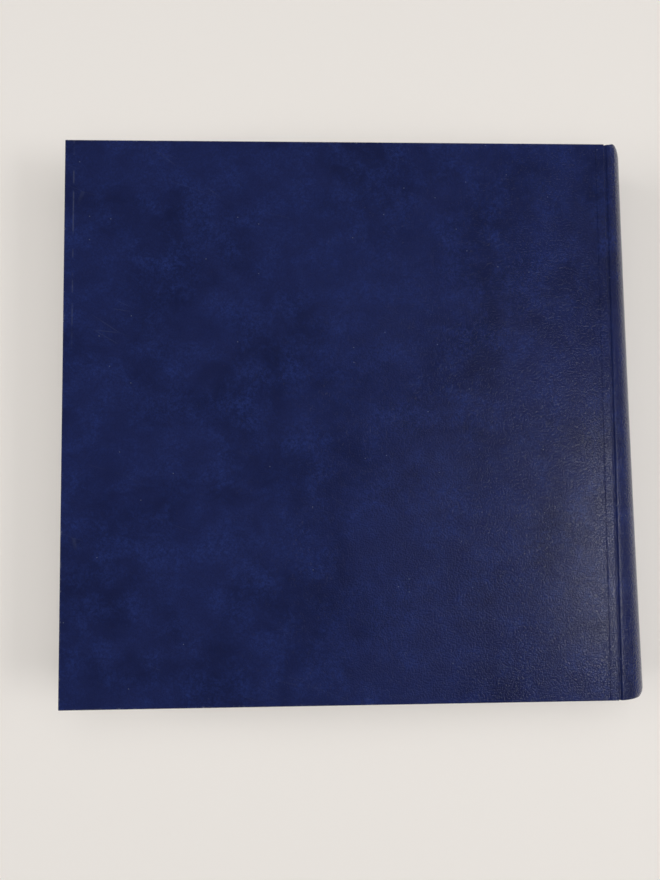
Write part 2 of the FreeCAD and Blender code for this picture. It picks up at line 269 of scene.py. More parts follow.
class Graph:
    """A node tree that is filled by short calls."""

    def __init__(self, tree: bpy.types.NodeTree) -> None:
        """Start on an empty tree."""
        self.tree = tree

    def feed(self, socket: Socket, value: Value) -> None:
        """Link an output to a socket, or set the socket's own value."""
        if isinstance(value, Socket):
            self.tree.links.new(value, socket)
        else:
            socket.default_value = value

    def node(self, kind: str, inputs: Dict[object, Value], **settings: object) -> bpy.types.Node:
        """Add a node.

        Args:
            kind: The node's type.
            inputs: Values or outputs for its inputs, by name or index.
            **settings: Its settings by name.

        Returns:
            The node.
        """
        made = self.tree.nodes.new(kind)
        for key, value in settings.items():
            setattr(made, key, value)
        for key, value in inputs.items():
            self.feed(made.inputs[key], value)
        return made

    def math(self, operation: str, a: Value, b: Value = 0.0, clamp: bool = False) -> Socket:
        """Result of a sum on two values."""
        return self.node("ShaderNodeMath", {0: a, 1: b}, operation=operation, use_clamp=clamp).outputs[0]

    def ramp(self, value: Value, low: float, high: float, out: Point = (0.0, 1.0)) -> Socket:
        """A value brought smoothly from one range to another.

        Args:
            value: What is read.
            low: Where the result starts to change.
            high: Where it has changed all the way.
            out: The result at low and at high.

        Returns:
            The new value.
        """
        made = self.node(
            "ShaderNodeMapRange",
            {0: value, 1: low, 2: high, 3: out[0], 4: out[1]},
            interpolation_type="SMOOTHSTEP",
        )
        return made.outputs[0]

    def product(self, a: Value, b: Value) -> Socket:
        """Two values multiplied."""
        return self.math("MULTIPLY", a, b)

    def larger(self, a: Value, b: Value, clamp: bool = False) -> Socket:
        """The larger of two values."""
        return self.math("MAXIMUM", a, b, clamp)

    def mix(self, share: Value, a: Value, b: Value) -> Socket:
        """Mix of two colours by a share."""
        return self.node("ShaderNodeMix", {0: share, 6: a, 7: b}, data_type="RGBA").outputs[2]

    def noise(self, vector: Value, size: float, detail: float = 2.0, rough: float = 0.5) -> Socket:
        """Soft noise whose clouds are about a size across."""
        inputs = {"Vector": vector, "Scale": 1 / size, "Detail": detail, "Roughness": rough}
        return self.node("ShaderNodeTexNoise", inputs).outputs["Fac"]

    def scaled(self, vector: Value, scale: Sequence[float], turn: float = 0.0) -> Socket:
        """A vector turned about Z and stretched, for patterns that run one way."""
        inputs = {"Vector": vector, "Scale": scale, "Rotation": (0, 0, turn)}
        return self.node("ShaderNodeMapping", inputs).outputs[0]

    def grown(self, vector: Value, factor: Value) -> Socket:
        """A vector grown by one factor in every direction."""
        return self.node("ShaderNodeVectorMath", {0: vector, "Scale": factor}, operation="SCALE").outputs[0]

    def split(self, vector: Value) -> Sequence[Socket]:
        """The three parts of a vector."""
        return self.node("ShaderNodeSeparateXYZ", {0: vector}).outputs

    def cells(self, vector: Value, scale: float, **settings: object) -> Socket:
        """Distance to the nearest heart, or border, of scattered cells."""
        inputs = {"Vector": vector, "Scale": scale}
        return self.node("ShaderNodeTexVoronoi", inputs, **settings).outputs[0]

    def place(self) -> Socket:
        """Place on the album, in metres."""
        return self.node("ShaderNodeTexCoord", {}).outputs["Object"]


class Effect:
    """A surface effect that several finishes share, kept as one node group."""

    name = ""
    takes: Tuple[Tuple[str, str], ...] = ()
    gives: Tuple[Tuple[str, str], ...] = ()
    _built: Dict[str, bpy.types.NodeTree] = {}

    def draw(self, graph: Graph, inputs: Sockets) -> Sockets:
        """Fill the group and return its outputs by name."""
        raise NotImplementedError

    def tree(self) -> bpy.types.NodeTree:
        """The group, built the first time that it is asked for."""
        if self.name not in self._built:
            made = bpy.data.node_groups.new(self.name, "ShaderNodeTree")
            for label, kind in self.takes:
                made.interface.new_socket(name=label, in_out="INPUT", socket_type=kind)
            for label, kind in self.gives:
                made.interface.new_socket(name=label, in_out="OUTPUT", socket_type=kind)
            graph = Graph(made)
            entry = graph.node("NodeGroupInput", {})
            results = self.draw(graph, {label: entry.outputs[label] for label, _ in self.takes})
            graph.node("NodeGroupOutput", dict(results))
            self._built[self.name] = made
        return self._built[self.name]

    def use(self, graph: Graph, **inputs: Value) -> bpy.types.Node:
        """Place the effect in a material.

        Args:
            graph: The material's nodes.
            **inputs: Values by input name, with _ for a space.

        Returns:
            The group node.
        """
        named = {key.replace("_", " "): value for key, value in inputs.items()}
        made = graph.node("ShaderNodeGroup", {}, node_tree=self.tree())
        for key, value in named.items():
            graph.feed(made.inputs[key], value)
        return made


VECTOR, FLOAT, COLOUR = "NodeSocketVector", "NodeSocketFloat", "NodeSocketColor"


class PebbleGrain(Effect):
    """Embossed leather grain: small uneven pebbles with creases between them."""

    name = "pebble_grain"
    takes = (("Vector", VECTOR), ("Pebbles per metre", FLOAT))
    gives = (("Height", FLOAT), ("Crease", FLOAT))
    uneven_scale = 0.9
    pull = 0.42
    pore_scale = 3.1
    pore_depth = 0.35
    crease_from = (0.35, 0.75)

    def draw(self, graph: Graph, inputs: Sockets) -> Sockets:
        """Cells of two sizes, pushed about by noise so that no row shows."""
        at = graph.grown(inputs["Vector"], inputs["Pebbles per metre"])
        unevenness = {"Vector": at, "Scale": self.uneven_scale, "Detail": 2.0}
        push = graph.node("ShaderNodeTexNoise", unevenness).outputs["Color"]
        pulled = graph.node("ShaderNodeMix", {0: self.pull, 4: at, 5: push}, data_type="VECTOR").outputs[1]
        moved = graph.node("ShaderNodeVectorMath", {0: at, 1: push}, operation="ADD").outputs[0]
        pebbles = graph.cells(moved, 1.0, feature="F1")
        pores = graph.cells(pulled, self.pore_scale, feature="F1")
        crease = graph.ramp(pebbles, *self.crease_from)
        crown = graph.math("SUBTRACT", 1.0, crease)
        height = graph.math("SUBTRACT", crown, graph.product(pores, self.pore_depth))
        return {"Height": height, "Crease": crease}


class Mottling(Effect):
    """Cloudy dye: a middle colour that drifts to a dark and to a bright one."""

    name = "mottling"
    takes = (
        ("Vector", VECTOR),
        ("Dark", COLOUR),
        ("Middle", COLOUR),
        ("Bright", COLOUR),
        ("Cloud size", FLOAT),
    )
    gives = (("Color", COLOUR),)

    def draw(self, graph: Graph, inputs: Sockets) -> Sockets:
        """Clouds of three sizes laid over each other."""
        at = graph.grown(inputs["Vector"], graph.math("DIVIDE", 1.0, inputs["Cloud size"]))

        def clouds(scale: float, detail: float) -> Socket:
            """Noise of one size."""
            values = {"Vector": at, "Scale": scale, "Detail": detail, "Roughness": 0.62, "Distortion": 0.4}
            return graph.node("ShaderNodeTexNoise", values).outputs["Fac"]

        wide, patch, fine = clouds(1.1, 3.0), clouds(3.6, 5.0), clouds(38.0, 4.0)
        ground = graph.mix(graph.ramp(wide, 0.3, 0.6), inputs["Dark"], inputs["Middle"])
        share = graph.product(graph.ramp(patch, 0.32, 0.8), graph.ramp(fine, 0.38, 0.64, (0.2, 1.0)))
        return {"Color": graph.mix(share, ground, inputs["Bright"])}


class EdgeWear(Effect):
    """Rubbed edges of a flat case, and the faint crease that runs beside its fore edge."""

    name = "edge_wear"
    takes = (
        ("Vector", VECTOR),
        ("Fore edge", FLOAT),
        ("Half height", FLOAT),
        ("Reach", FLOAT),
        ("Crease inset", FLOAT),
    )
    gives = (("Mask", FLOAT), ("Crease", FLOAT))

    def draw(self, graph: Graph, inputs: Sockets) -> Sockets:
        """Nearness to the three outer edges, broken up by noise."""
        x, y, _ = graph.split(inputs["Vector"])
        inward = graph.math("SUBTRACT", x, inputs["Fore edge"])
        ends = graph.math("SUBTRACT", inputs["Half height"], graph.math("ABSOLUTE", y))
        nearest = graph.math("MINIMUM", inward, ends)
        close = graph.math("DIVIDE", nearest, inputs["Reach"])
        rubbed = graph.noise(inputs["Vector"], 1.6 * MM, 4.0, 0.7)
        runs = graph.noise(inputs["Vector"], 28 * MM, 2.0)
        patchy = graph.product(graph.ramp(rubbed, 0.52, 0.66), graph.ramp(runs, 0.42, 0.62))
        mask = graph.product(graph.ramp(close, 0.0, 1.0, (1.0, 0.0)), patchy)
        off_line = graph.math("ABSOLUTE", graph.math("SUBTRACT", inward, inputs["Crease inset"]))
        line = graph.ramp(off_line, 0.1 * MM, 0.45 * MM, (1.0, 0.0))
        along = graph.scaled(inputs["Vector"], (0.2, 1, 0.2))
        dashes = graph.ramp(graph.noise(along, 6 * MM, 3.0), 0.45, 0.6)
        upper = graph.ramp(y, 20 * MM, 60 * MM)
        return {"Mask": mask, "Crease": graph.product(line, graph.product(dashes, upper))}


class Specks(Effect):
    """Small light specks and nicks, scattered singly."""

    name = "specks"
    takes = (("Vector", VECTOR), ("Cells per metre", FLOAT), ("Share", FLOAT))
    gives = (("Mask", FLOAT),)

    def draw(self, graph: Graph, inputs: Sockets) -> Sockets:
        """One speck at the heart of a few of the cells."""
        at = {"Vector": inputs["Vector"], "Scale": inputs["Cells per metre"]}
        cells = graph.node("ShaderNodeTexVoronoi", at, voronoi_dimensions="2D")
        lot = graph.node("ShaderNodeSeparateColor", {0: cells.outputs[1]}).outputs[0]
        chosen = graph.math("LESS_THAN", lot, inputs["Share"])
        dot = graph.ramp(cells.outputs[0], 0.025, 0.06, (1.0, 0.0))
        return {"Mask": graph.product(dot, chosen)}


class Scratches(Effect):
    """Hair-fine scratches that run one way and break off."""

    name = "scratches"
    takes = (("Vector", VECTOR), ("Turn", FLOAT))
    gives = (("Mask", FLOAT),)
    cells_per_metre = (9.0, 95.0, 9.0)

    def draw(self, graph: Graph, inputs: Sockets) -> Sockets:
        """Borders of long thin cells, kept only here and there."""
        turn = {"Vector": inputs["Vector"], "Angle": inputs["Turn"]}
        turned = graph.node("ShaderNodeVectorRotate", turn, rotation_type="Z_AXIS").outputs[0]
        stretched = graph.scaled(turned, self.cells_per_metre)
        border = graph.cells(stretched, 1.0, voronoi_dimensions="2D", feature="DISTANCE_TO_EDGE")
        kept = graph.ramp(graph.noise(turned, 21 * MM, 2.0), 0.6, 0.68)
        return {"Mask": graph.product(graph.ramp(border, 0.003, 0.012, (1.0, 0.0)), kept)}


class Weave(Effect):
    """Plain weave of two sets of threads."""

    name = "weave"
    takes = (("Vector", VECTOR), ("Threads per metre", FLOAT))
    gives = (("Height", FLOAT), ("Over", FLOAT))

    def draw(self, graph: Graph, inputs: Sockets) -> Sockets:
        """Warp and weft that pass over each other in turn."""
        x, y, z = graph.split(inputs["Vector"])
        angle = graph.product(inputs["Threads per metre"], math.pi)
        across = graph.math("SINE", graph.product(graph.math("ADD", x, z), angle))
        along = graph.math("SINE", graph.product(y, angle))
        over = graph.math("MULTIPLY_ADD", graph.product(across, along), 0.5)
        over.node.inputs[2].default_value = 0.5
        ridges = graph.larger(graph.math("ABSOLUTE", across), graph.math("ABSOLUTE", along))
        height = graph.product(ridges, graph.ramp(over, 0.0, 1.0, (0.6, 1.0)))
        return {"Height": height, "Over": over}


class Fibres(Effect):
    """Paper and board stock: short fibres and faint clouds."""

    name = "fibres"
    takes = (("Vector", VECTOR),)
    gives = (("Height", FLOAT), ("Fleck", FLOAT), ("Cloud", FLOAT))

    def draw(self, graph: Graph, inputs: Sockets) -> Sockets:
        """Stretched noise for the fibres, fine noise for flecks and wide noise for clouds."""
        fibre = graph.noise(graph.scaled(inputs["Vector"], (1.0, 0.25, 1.0), 0.5), 0.5 * MM, 4.0, 0.7)
        fleck = graph.ramp(graph.noise(inputs["Vector"], 0.45 * MM, 2.0), 0.66, 0.74)
        return {"Height": fibre, "Fleck": fleck, "Cloud": graph.noise(inputs["Vector"], 35 * MM, 3.0)}


# ---------------------------------------------------------------- finishes


@dataclass(frozen=True)
class Finish:
    """A finish of the album. Each kind fills its own material."""

    name: str

    def shade(self, graph: Graph, surface: bpy.types.Node) -> None:
        """Feed the surface shader."""
        raise NotImplementedError

    def material(self) -> bpy.types.Material:
        """The finish as a material, made once."""
        label = f"{self.name}_finish"
        known = bpy.data.materials.get(label)
        if known is not None:
            return known
        made = bpy.data.materials.new(label)
        made.use_nodes = True
        made.node_tree.nodes.clear()
        graph = Graph(made.node_tree)
        surface = graph.node("ShaderNodeBsdfPrincipled", {})
        graph.node("ShaderNodeOutputMaterial", {"Surface": surface.outputs[0]})
        self.shade(graph, surface)
        return made

    @staticmethod
    def bump(graph: Graph, surface: bpy.types.Node, height: Value, depth: float) -> None:
        """Raise the surface by a height pattern.

        Args:
            graph: The material's nodes.
            surface: The surface shader.
            height: The pattern, from 0 to 1.
            depth: How deep the pattern is, in metres.
        """
        made = graph.node("ShaderNodeBump", {"Strength": 1.0, "Distance": depth, "Height": height})
        graph.feed(surface.inputs["Normal"], made.outputs[0])


@dataclass(frozen=True)
class Leatherette(Finish):
    """Dyed and embossed covering with a soft gloss, rubbed at the edges."""

    fore_x: float = 0.0
    half_height: float = 0.0
    dark: Colour = (0.0048, 0.0084, 0.046, 1)
    middle: Colour = (0.0084, 0.014, 0.071, 1)
    bright: Colour = (0.0135, 0.0265, 0.132, 1)
    rubbed: Colour = (0.16, 0.18, 0.24, 1)
    pebble: float = 0.8 * MM
    cloud: float = 48 * MM
    grain_depth: float = 0.065 * MM
    wear_reach: float = 1.3 * MM
    crease_inset: float = 4.2 * MM
    # Share of the dark dye that is painted into the grain's creases as painted shade.
    crease_shade: float = 0.35
    crease_show: float = 0.16
    crease_depth: float = 1.5
    speck_cells: float = 210.0
    speck_share: float = 0.022
    speck_show: float = 0.6
    scratch_turn: float = 0.35
    scratch_show: float = 0.06
    rough: Point = (0.11, 0.16)
    rub_rough: float = 0.25
    ior: float = 1.47
    specular: float = 0.35

    def shade(self, graph: Graph, surface: bpy.types.Node) -> None:
        """Mottled dye, pebble grain with painted shade in its creases, worn edges, specks and scratches."""
        at = graph.place()
        grain = PebbleGrain().use(graph, Vector=at, Pebbles_per_metre=1 / self.pebble)
        dye = Mottling().use(
            graph, Vector=at, Dark=self.dark, Middle=self.middle, Bright=self.bright, Cloud_size=self.cloud
        )
        wear = EdgeWear().use(
            graph,
            Vector=at,
            Fore_edge=self.fore_x,
            Half_height=self.half_height,
            Reach=self.wear_reach,
            Crease_inset=self.crease_inset,
        )
        specks = Specks().use(graph, Vector=at, Cells_per_metre=self.speck_cells, Share=self.speck_share)
        scratches = Scratches().use(graph, Vector=at, Turn=self.scratch_turn)
        # Painted shade: the grain's creases are mixed towards the dark dye.
        crease_shade_share = graph.product(grain.outputs["Crease"], self.crease_shade)
        ink_and_shade = graph.mix(crease_shade_share, dye.outputs["Color"], self.dark)
        marks = graph.larger(wear.outputs["Mask"], graph.product(specks.outputs["Mask"], self.speck_show))
        lines = graph.product(scratches.outputs["Mask"], self.scratch_show)
        creased = graph.product(wear.outputs["Crease"], self.crease_show)
        pale = graph.larger(graph.larger(lines, creased), marks, True)
        graph.feed(surface.inputs["Base Color"], graph.mix(pale, ink_and_shade, self.rubbed))
        film = graph.noise(at, 30 * MM, 4.0, 0.6)
        gloss = graph.ramp(film, 0.3, 0.7, self.rough)
        graph.feed(surface.inputs["Roughness"], graph.math("ADD", gloss, graph.product(pale, self.rub_rough)))
        height = graph.math("SUBTRACT", grain.outputs["Height"], graph.product(creased, self.crease_depth))
        self.bump(graph, surface, height, self.grain_depth)
        surface.inputs["IOR"].default_value = self.ior
        surface.inputs["Specular IOR Level"].default_value = self.specular


@dataclass(frozen=True)
class Stock(Finish):
    """Paper or board, with fibres, flecks and faint clouds."""

    ground: Colour = (0.8, 0.78, 0.72, 1)
    shadow: Colour = (0.7, 0.67, 0.6, 1)
    fleck: Colour = (0.5, 0.47, 0.4, 1)
    rough: Point = (0.62, 0.78)
    fibre_depth: float = 0.03 * MM

    def ground_colour(self, graph: Graph, at: Value, stock: bpy.types.Node) -> Socket:
        """Colour of the bare stock."""
        clouded = graph.mix(graph.ramp(stock.outputs["Cloud"], 0.35, 0.7), self.ground, self.shadow)
        return graph.mix(graph.product(stock.outputs["Fleck"], 0.5), clouded, self.fleck)

    def shade(self, graph: Graph, surface: bpy.types.Node) -> None:
        """Fibres in colour, gloss and height."""
        at = graph.place()
        stock = Fibres().use(graph, Vector=at)
        graph.feed(surface.inputs["Base Color"], self.ground_colour(graph, at, stock))
        graph.feed(surface.inputs["Roughness"], graph.ramp(stock.outputs["Height"], 0.3, 0.7, self.rough))
        self.bump(graph, surface, stock.outputs["Height"], self.fibre_depth)


@dataclass(frozen=True)
class PrintedCard(Stock):
    """Blue page card, printed with a ring round each window and a line under it."""

    first_x: float = 0.0
    pitch_x: float = 0.0
    pitch_y: float = 0.0
    ring_radius: float = 14.2 * MM
    line_drop: float = 20.0 * MM
    line_half: float = 11.0 * MM
    ink_half: float = 0.16 * MM
    ink_strength: float = 0.8
    columns: int = 6
    start_columns: int = 10
    ink: Colour = (0.5, 0.56, 0.66, 1)

    def ground_colour(self, graph: Graph, at: Value, stock: bpy.types.Node) -> Socket:
        """The stock with its print."""
        x, y, _ = graph.split(at)
        along = graph.math("SUBTRACT", x, self.first_x)
        positive = graph.math("ADD", along, self.start_columns * self.pitch_x)
        near_x = graph.math("PINGPONG", positive, self.pitch_x / 2)
        half_rows = graph.math("WRAP", y, self.pitch_y)
        half_rows.node.inputs[2].default_value = 0.0
        near_y = graph.math("SUBTRACT", half_rows, self.pitch_y / 2)
        spread = graph.node("ShaderNodeCombineXYZ", {0: near_x, 1: near_y}).outputs[0]
        reach = graph.node("ShaderNodeVectorMath", {0: spread}, operation="LENGTH").outputs["Value"]
        edge = (self.ink_half, self.ink_half * 1.6)

        def line(distance: Value) -> Socket:
            """Ink where a distance is small."""
            return graph.ramp(graph.math("ABSOLUTE", distance), edge[0], edge[1], (1.0, 0.0))

        ring = line(graph.math("SUBTRACT", reach, self.ring_radius))
        under = line(graph.math("ADD", near_y, self.line_drop))
        rule = graph.product(under, graph.math("LESS_THAN", near_x, self.line_half))
        last_x = (self.columns - 0.5) * self.pitch_x
        printed = graph.product(graph.math("LESS_THAN", along, last_x), self.ink_strength)
        ink_and_shade = graph.product(graph.larger(ring, rule), printed)
        return graph.mix(ink_and_shade, super().ground_colour(graph, at, stock), self.ink)


@dataclass(frozen=True)
class Cloth(Finish):
    """Woven lining cloth."""

    # thread and lit_thread are one cloth colour: painted shade where threads pass under, painted highlight
    # where they pass over.
    thread: Colour = (0.012, 0.02, 0.06, 1)
    lit_thread: Colour = (0.03, 0.042, 0.1, 1)
    pitch: float = 0.42 * MM
    thread_depth: float = 0.08 * MM

    def shade(self, graph: Graph, surface: bpy.types.Node) -> None:
        """Threads in colour and height: the threads that pass over get a painted highlight."""
        at = graph.place()
        weave = Weave().use(graph, Vector=at, Threads_per_metre=1 / self.pitch)
        uneven = graph.ramp(graph.noise(at, 2.4 * MM, 3.0), 0.3, 0.7, (0.5, 1.0))
        # Painted highlight: where a thread passes over, its colour moves towards lit_thread, unevenly.
        share = graph.product(weave.outputs["Over"], uneven)
        graph.feed(surface.inputs["Base Color"], graph.mix(share, self.thread, self.lit_thread))
        graph.feed(surface.inputs["Roughness"], graph.ramp(uneven, 0.5, 1.0, (0.92, 0.78)))
        self.bump(graph, surface, weave.outputs["Height"], self.thread_depth)
        surface.inputs["Sheen Weight"].default_value = 0.25


@dataclass(frozen=True)
class Nickel(Finish):
    """Nickel-plated steel, drawn or rolled one way, with handling marks."""

    bright: Colour = (0.74, 0.73, 0.7, 1)
    dull: Colour = (0.56, 0.55, 0.52, 1)
    rough: Point = (0.16, 0.34)
    draw_depth: float = 0.012 * MM

    def shade(self, graph: Graph, surface: bpy.types.Node) -> None:
        """Rolled streaks, cloudy plating and fine scratches."""
        at = graph.place()
        streaks = graph.noise(graph.scaled(at, (1.0, 0.06, 1.0)), 0.35 * MM, 4.0, 0.6)
        clouds = graph.noise(at, 9 * MM, 4.0, 0.6)
        scratches = Scratches().use(graph, Vector=at, Turn=1.1)
        scratched = graph.product(scratches.outputs["Mask"], 0.6)
        worn = graph.larger(graph.ramp(clouds, 0.5, 0.75), scratched)
        graph.feed(surface.inputs["Base Color"], graph.mix(worn, self.bright, self.dull))
        haze = graph.math("ADD", graph.product(streaks, 0.45), graph.product(worn, 0.55))
        graph.feed(surface.inputs["Roughness"], graph.ramp(haze, 0.1, 0.8, self.rough))
        self.bump(graph, surface, streaks, self.draw_depth)
        surface.inputs["Metallic"].default_value = 1.0


@dataclass(frozen=True)
class ClearFilm(Finish):
    """Clear acetate with faint haze and rub marks."""

    tint: Colour = (0.86, 0.9, 0.92, 1)
    cover: Point = (0.1, 0.24)
    rough: Point = (0.08, 0.2)

    def shade(self, graph: Graph, surface: bpy.types.Node) -> None:
        """A thin clear skin that catches the light."""
        at = graph.place()
        haze = graph.noise(at, 24 * MM, 4.0, 0.6)
        rubs = Scratches().use(graph, Vector=at, Turn=0.8)
        clouded = graph.larger(graph.ramp(haze, 0.5, 0.8), rubs.outputs["Mask"])
        surface.inputs["Base Color"].default_value = self.tint
        graph.feed(surface.inputs["Roughness"], graph.ramp(haze, 0.3, 0.7, self.rough))
        graph.feed(surface.inputs["Alpha"], graph.ramp(clouded, 0.0, 1.0, self.cover))
        surface.inputs["IOR"].default_value = 1.8


def coat(piece: bpy.types.Object, finish: Finish) -> None:
    """Give a piece one finish all over."""
    piece.data.materials.clear()
    piece.data.materials.append(finish.material())


# ---------------------------------------------------------------- the case


@dataclass(frozen=True)
class SpineForm:
    """Outline of the groove and the rounded spine, which swells towards the tail."""

    sizes: AlbumSizes
    groove_wall: Point = (0.35 * MM, 1.5 * MM)
    groove_floor: Point = (0.95 * MM, 1.66 * MM)
    shoulder: Point = (2.3 * MM, 1.0 * MM)
    shoulder_radius: float = 1.0 * MM
    rise: float = math.radians(-40)
    fall: float = math.radians(12)
    corner: float = math.radians(65)
    bulge_head: float = 10.2 * MM
    bulge_middle: float = 12.2 * MM
    bulge_tail: float = 15.2 * MM
    end_pinch: float = 1.3 * MM
    end_reach: float = 3.2 * MM
    shoulder_steps: int = 5
    corner_steps: int = 14
    crest_steps: int = 9

    @property
    def shoulder_point(self) -> Point:
        """Where the spine's long curve leaves the groove, on the outside of the back half."""
        return self.sizes.groove_x + self.shoulder[0], self.sizes.thickness - self.shoulder[1]

    def radii(self) -> Point:
        """Radii of the corner and the crest that together reach the middle bulge at mid thickness."""
        span = self.bulge_middle
        drop = self.shoulder_point[1] - self.sizes.mid_z
        across = (math.sin(self.corner) - math.sin(self.fall), 1 - math.sin(self.corner))
        down = (math.cos(self.fall) - math.cos(self.corner), math.cos(self.corner))
        whole = across[0] * down[1] - across[1] * down[0]
        return (span * down[1] - drop * across[1]) / whole, (across[0] * drop - down[0] * span) / whole

    def arcs(self) -> List[Tuple[Point, float, float, int]]:
        """Centre, start and end direction, and steps of each arc from the groove to the crest."""
        corner_radius, crest_radius = self.radii()
        x, z = self.shoulder_point
        small = self.shoulder_radius
        first = (x - small * math.sin(self.fall), z - small * math.cos(self.fall))
        second = (x - corner_radius * math.sin(self.fall), z - corner_radius * math.cos(self.fall))
        shift = corner_radius - crest_radius
        third = (second[0] + shift * math.sin(self.corner), second[1] + shift * math.cos(self.corner))
        return [
            (first, self.rise, self.fall, self.shoulder_steps),
            (second, self.fall, self.corner, self.corner_steps),
            (third, self.corner, math.pi / 2, self.crest_steps),
        ]

    def shoulder_start(self) -> Point:
        """Where the small arc of the shoulder rises out of the groove."""
        (x, z), start, _, _ = self.arcs()[0]
        return x + self.shoulder_radius * math.sin(start), z + self.shoulder_radius * math.cos(start)

    def inside_shoulder(self, inset: float) -> Point:
        """The shoulder point moved into the spine by a wall's thickness."""
        x, z = self.shoulder_point
        return x - inset * math.sin(self.fall), z - inset * math.cos(self.fall)

    def bulge_share(self, y: float) -> float:
        """How far the spine swells at a place along it, as a share of the middle bulge.

        Args:
            y: Place along the spine, in metres.

        Returns:
            The share, 1 at the middle.
        """
        toward_tail = -y / self.sizes.half_height
        lean = (self.bulge_tail - self.bulge_head) / 2
        bow = (self.bulge_tail + self.bulge_head) / 2 - self.bulge_middle
        bulge = self.bulge_middle + lean * toward_tail + bow * toward_tail**2
        from_end = max(0.0, self.sizes.half_height - abs(y))
        if from_end < self.end_reach:
            bulge -= self.end_pinch * (1 - from_end / self.end_reach) ** 2
        return bulge / self.bulge_middle

    def stations(self, half_length: float, spacing: float = 15 * MM) -> List[float]:
        """Places along the spine where a piece is cut across, closer together at its ends.

        Args:
            half_length: Half the piece's length.
            spacing: Distance between the cuts.

        Returns:
            The places from tail to head, without the ends.
        """
        reach = self.sizes.half_height
        close = [reach - self.end_reach * share for share in (0.25, 0.55, 1.0)]
        count = round(2 * half_length / spacing)
        even = [half_length * (2 * k / count - 1) for k in range(1, count)]
        return sorted([y for y in even + close + [-c for c in close] if abs(y) < half_length - 0.1 * MM])

    def step(self, dx: float, dz: float) -> None:
        """Extrude the selected edges by a move across the spine."""
        bpy.ops.mesh.extrude_region_move(TRANSFORM_OT_translate={"value": (dx, 0, dz)})

    def walk(self, points: Sequence[Point]) -> None:
        """Extrude the selected edges from the first point through the others."""
        for (x0, z0), (x1, z1) in zip(points, points[1:]):
            self.step(x1 - x0, z1 - z0)

    def sweep(self, first_arc: int) -> None:
        """Spin the selected edges round the arcs to the crest.

        Args:
            first_arc: 0 to start in the groove, 1 to start at the shoulder.
        """
        for (x, z), start, end, steps in self.arcs()[first_arc:]:
            bpy.ops.mesh.spin(steps=steps, angle=start - end, center=(x, 0, z), axis=(0, 1, 0))

    def swell(self, work: Workpiece) -> None:
        """Draw the spine part of a piece out to the bulge that it has at each station.

        Args:
            work: The piece, in edit mode.
        """
        pivot = self.shoulder_point[0]
        mesh = bmesh.from_edit_mesh(work.obj.data)
        places = sorted({round(v.co.y, 6) for v in mesh.verts})
        for y in places:
            work.select(Part.VERT, lambda at, _: near(at.y, y) and at.x > pivot)
            bpy.ops.transform.resize(value=(self.bulge_share(y), 1, 1), center_override=(pivot, y, 0))


def flip_to_front(mid_z: float) -> None:
    """Mirror the piece in edit mode from the back half to the front half.

    Args:
        mid_z: Middle of the album's thickness.
    """
    bpy.ops.mesh.select_all(action="SELECT")
    bpy.ops.transform.resize(value=(1, 1, -1), center_override=(0, 0, mid_z))


def easing_route(start: Point, end: Point, steps: int) -> List[Point]:
    """Points that leave a level slowly and fall faster towards the end.

    Args:
        start: First point, across and up.
        end: Last point.
        steps: Number of steps between them.

    Returns:
        The points, both ends among them.
    """
    run, rise = end[0] - start[0], end[1] - start[1]
    return [(start[0] + run * k / steps, start[1] + rise * (k / steps) ** 3) for k in range(steps + 1)]


def turn_outward(work: Workpiece, probe: Test) -> None:
    """Make a piece's faces point away from its wall's inside.

    Args:
        work: The piece, in edit mode.
        probe: Passes for a face that already points outward.
    """
    bpy.ops.mesh.select_all(action="SELECT")
    bpy.ops.mesh.remove_doubles(threshold=0.005 * MM)
    bpy.ops.mesh.normals_make_consistent(inside=False)
    if work.select(Part.FACE, probe) == 0:
        bpy.ops.mesh.select_all(action="SELECT")
        bpy.ops.mesh.flip_normals()


def cut_across(stations: Sequence[float]) -> None:
    """Cut the whole piece across at places along the spine."""
    for y in stations:
        bpy.ops.mesh.select_all(action="SELECT")
        bpy.ops.mesh.bisect(plane_co=(0, y, 0), plane_no=(0, 1, 0))


